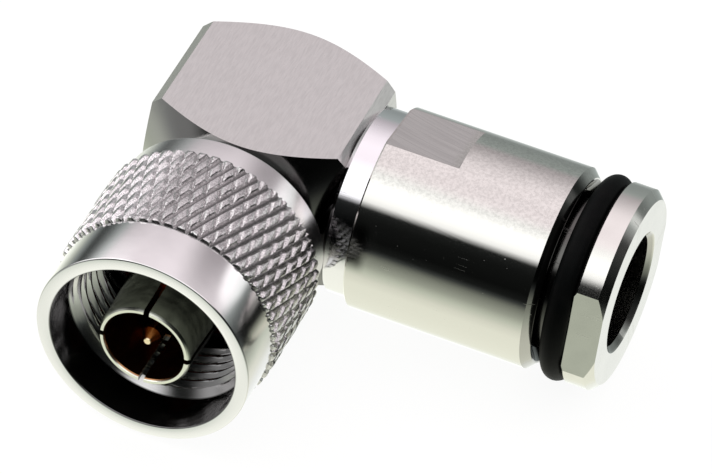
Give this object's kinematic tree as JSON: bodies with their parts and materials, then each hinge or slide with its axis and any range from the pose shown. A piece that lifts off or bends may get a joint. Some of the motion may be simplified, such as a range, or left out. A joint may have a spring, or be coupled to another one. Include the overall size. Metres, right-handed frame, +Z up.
{
  "type": "right-angle coaxial plug connector",
  "caption": "Right-angle coaxial plug with a knurled coupling nut, a square angle body and a screw clamp for the cable.",
  "frame": {"origin": "centre of the outer contact's tip, the plane in which the plug meets its socket", "axes": "-Y out of the plug's mouth, +X out along the cable, +Z up from the lying part"},
  "size_m": [0.043, 0.0343, 0.0196],
  "materials": {
    "milled_nickel": "brushed nickel plate",
    "turned_nickel": "bright turned nickel plate",
    "knurled_nickel": "bright knurled nickel plate",
    "white_bronze": "satin white bronze plate",
    "gold_plate": "gold plate",
    "bead_plastic": "white fluoropolymer",
    "red_silicone": "red silicone rubber",
    "black_rubber": "black nitrile rubber"
  },
  "bodies": {
    "angle_body": {"body_block": "milled_nickel", "rear_cap": "turned_nickel", "outer_contact": "white_bronze", "front_insulator": "bead_plastic", "rear_insulator": "bead_plastic", "centre_pin": "gold_plate", "front_gasket": "red_silicone", "retaining_ring": "white_bronze", "cable_sleeve": "turned_nickel", "sleeve_seal": "black_rubber", "cable_insulator": "bead_plastic", "cable_contact": "gold_plate", "braid_clamp": "white_bronze", "cable_gasket": "black_rubber", "slip_washer": "white_bronze"},
    "nut_body": {"coupling_nut": "knurled_nickel"},
    "clamp_slide": {"o_ring": "black_rubber"},
    "clamp_body": {"clamp_nut": "turned_nickel"}
  },
  "joints": [
    {"name": "coupling_nut_spin", "type": "hinge", "parent": "angle_body", "child": "nut_body", "pos_m": [0, 0.0148, 0], "axis": [0, -1, 0], "continuous": true},
    {"name": "clamp_travel", "type": "slide", "parent": "angle_body", "child": "clamp_slide", "axis": [1, 0, 0], "range_m": [-0.00071, 0.00501]},
    {"name": "clamp_turn", "type": "hinge", "parent": "clamp_slide", "child": "clamp_body", "pos_m": [0.0305, 0.02434, 0], "axis": [1, 0, 0], "range_deg": [-252, 1800]}
  ],
  "couplings": [
    {"joint": "clamp_travel", "follows": "clamp_turn", "m_per_rad": 0.00015915}
  ]
}
